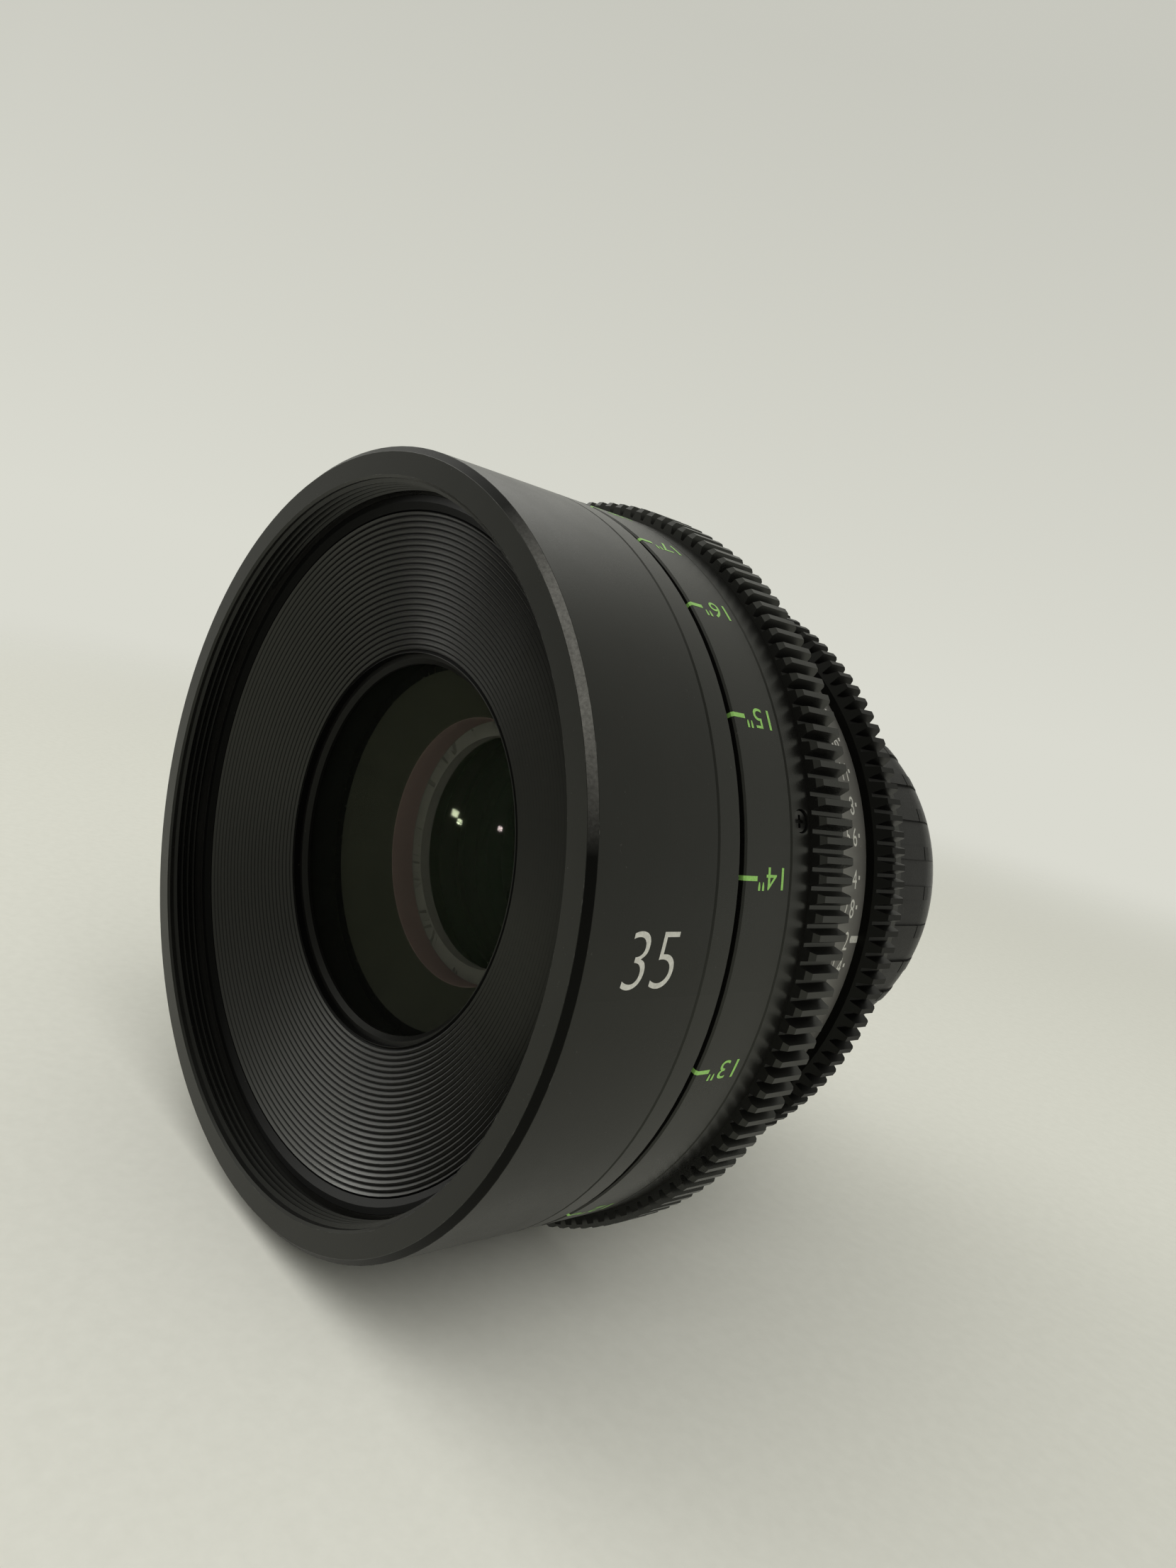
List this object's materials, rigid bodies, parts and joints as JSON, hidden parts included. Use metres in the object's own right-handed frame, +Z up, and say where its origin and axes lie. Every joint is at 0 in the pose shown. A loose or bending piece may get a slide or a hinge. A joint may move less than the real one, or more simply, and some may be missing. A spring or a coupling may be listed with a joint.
{
  "type": "cinema prime lens",
  "caption": "Cinema prime lens with geared focus and iris rings, ribbed front light trap, bladed iris and lugged camera mount under a ribbed rear cap.",
  "frame": {"origin": "centre of the seating face of the camera mount, on the optical axis", "axes": "+Y along the optical axis towards the camera, so the front glass faces -Y; +Z up; +X to the right seen from the front"},
  "size_m": [0.1184, 0.1187, 0.1184],
  "materials": {
    "black_anodised": "black anodised, satin",
    "grey_anodised": "grey anodised, satin",
    "matt_black": "matt black anodised",
    "glass": "coated, polished",
    "steel": "ground stainless",
    "dark_steel": "blackened steel",
    "brass": "turned brass",
    "black_plastic": "moulded, low sheen"
  },
  "bodies": {
    "barrel": {"front_barrel": "black_anodised", "front_baffle": "matt_black", "front_retaining_ring": "matt_black", "front_element": "glass", "second_element": "glass", "third_element": "glass", "front_group_cell": "matt_black", "focus_index_ring": "black_anodised", "main_barrel": "matt_black", "mid_barrel": "black_anodised", "focus_stop_pin": "steel", "iris_housing": "matt_black", "iris_cover_ring": "matt_black", "rear_group_cell": "matt_black", "rear_group_front_element": "glass", "rear_group_middle_element": "glass", "rear_element": "glass", "rear_retaining_ring": "matt_black", "rear_barrel": "black_anodised", "mount_shim": "brass", "lens_mount": "steel", "mount_screws": "steel"},
    "focus_ring": {"focus_scale_ring": "black_anodised", "focus_gear": "black_anodised", "focus_gear_screws": "dark_steel"},
    "focus_group": {"focus_carrier": "brass", "focus_guide_pins": "steel", "focus_cell": "matt_black", "focus_front_element": "glass", "focus_rear_element": "glass", "focus_retaining_ring": "matt_black"},
    "iris_ring": {"iris_scale_ring": "grey_anodised", "iris_gear": "black_anodised", "iris_drive_pin": "dark_steel", "iris_drive_ring": "matt_black"},
    "iris_blade_01": {"iris_blade_01": "dark_steel"},
    "iris_blade_02": {"iris_blade_02": "dark_steel"},
    "iris_blade_03": {"iris_blade_03": "dark_steel"},
    "iris_blade_04": {"iris_blade_04": "dark_steel"},
    "iris_blade_05": {"iris_blade_05": "dark_steel"},
    "iris_blade_06": {"iris_blade_06": "dark_steel"},
    "iris_blade_07": {"iris_blade_07": "dark_steel"},
    "iris_blade_08": {"iris_blade_08": "dark_steel"},
    "iris_blade_09": {"iris_blade_09": "dark_steel"},
    "iris_blade_10": {"iris_blade_10": "dark_steel"},
    "iris_blade_11": {"iris_blade_11": "dark_steel"},
    "rear_cap": {"rear_cap": "black_plastic"}
  },
  "joints": [
    {"name": "focus_turn", "type": "hinge", "parent": "barrel", "child": "focus_ring", "pos_m": [0, 0, 0], "axis": [0, -1, 0], "range_deg": [-53, 247]},
    {"name": "focus_slide", "type": "slide", "parent": "barrel", "child": "focus_group", "axis": [0, -1, 0], "range_m": [-0.0009, 0.00413]},
    {"name": "iris_turn", "type": "hinge", "parent": "barrel", "child": "iris_ring", "pos_m": [0, 0, 0], "axis": [0, -1, 0], "range_deg": [0, 54]},
    {"name": "rear_cap_pull", "type": "slide", "parent": "barrel", "child": "rear_cap", "axis": [0, 1, 0], "range_m": [0, 0.04]},
    {"name": "iris_blade_01_swing", "type": "hinge", "parent": "barrel", "child": "iris_blade_01", "pos_m": [0.029, -0.0261, 0], "axis": [0, -1, 0], "range_deg": [0, 26.77]},
    {"name": "iris_blade_02_swing", "type": "hinge", "parent": "barrel", "child": "iris_blade_02", "pos_m": [0.0244, -0.0261, 0.01568], "axis": [0, -1, 0], "range_deg": [0, 26.77]},
    {"name": "iris_blade_03_swing", "type": "hinge", "parent": "barrel", "child": "iris_blade_03", "pos_m": [0.01205, -0.0261, 0.02638], "axis": [0, -1, 0], "range_deg": [0, 26.77]},
    {"name": "iris_blade_04_swing", "type": "hinge", "parent": "barrel", "child": "iris_blade_04", "pos_m": [-0.00413, -0.0261, 0.0287], "axis": [0, -1, 0], "range_deg": [0, 26.77]},
    {"name": "iris_blade_05_swing", "type": "hinge", "parent": "barrel", "child": "iris_blade_05", "pos_m": [-0.01899, -0.0261, 0.02192], "axis": [0, -1, 0], "range_deg": [0, 26.77]},
    {"name": "iris_blade_06_swing", "type": "hinge", "parent": "barrel", "child": "iris_blade_06", "pos_m": [-0.02783, -0.0261, 0.00817], "axis": [0, -1, 0], "range_deg": [0, 26.77]},
    {"name": "iris_blade_07_swing", "type": "hinge", "parent": "barrel", "child": "iris_blade_07", "pos_m": [-0.02783, -0.0261, -0.00817], "axis": [0, -1, 0], "range_deg": [0, 26.77]},
    {"name": "iris_blade_08_swing", "type": "hinge", "parent": "barrel", "child": "iris_blade_08", "pos_m": [-0.01899, -0.0261, -0.02192], "axis": [0, -1, 0], "range_deg": [0, 26.77]},
    {"name": "iris_blade_09_swing", "type": "hinge", "parent": "barrel", "child": "iris_blade_09", "pos_m": [-0.00413, -0.0261, -0.0287], "axis": [0, -1, 0], "range_deg": [0, 26.77]},
    {"name": "iris_blade_10_swing", "type": "hinge", "parent": "barrel", "child": "iris_blade_10", "pos_m": [0.01205, -0.0261, -0.02638], "axis": [0, -1, 0], "range_deg": [0, 26.77]},
    {"name": "iris_blade_11_swing", "type": "hinge", "parent": "barrel", "child": "iris_blade_11", "pos_m": [0.0244, -0.0261, -0.01568], "axis": [0, -1, 0], "range_deg": [0, 26.77]}
  ],
  "couplings": [
    {"joint": "focus_slide", "follows": "focus_turn", "m_per_rad": 0.00095493},
    {"joint": "iris_blade_01_swing", "follows": "iris_turn", "ratio": 0.49474},
    {"joint": "iris_blade_02_swing", "follows": "iris_turn", "ratio": 0.49474},
    {"joint": "iris_blade_03_swing", "follows": "iris_turn", "ratio": 0.49474},
    {"joint": "iris_blade_04_swing", "follows": "iris_turn", "ratio": 0.49474},
    {"joint": "iris_blade_05_swing", "follows": "iris_turn", "ratio": 0.49474},
    {"joint": "iris_blade_06_swing", "follows": "iris_turn", "ratio": 0.49474},
    {"joint": "iris_blade_07_swing", "follows": "iris_turn", "ratio": 0.49474},
    {"joint": "iris_blade_08_swing", "follows": "iris_turn", "ratio": 0.49474},
    {"joint": "iris_blade_09_swing", "follows": "iris_turn", "ratio": 0.49474},
    {"joint": "iris_blade_10_swing", "follows": "iris_turn", "ratio": 0.49474},
    {"joint": "iris_blade_11_swing", "follows": "iris_turn", "ratio": 0.49474}
  ]
}
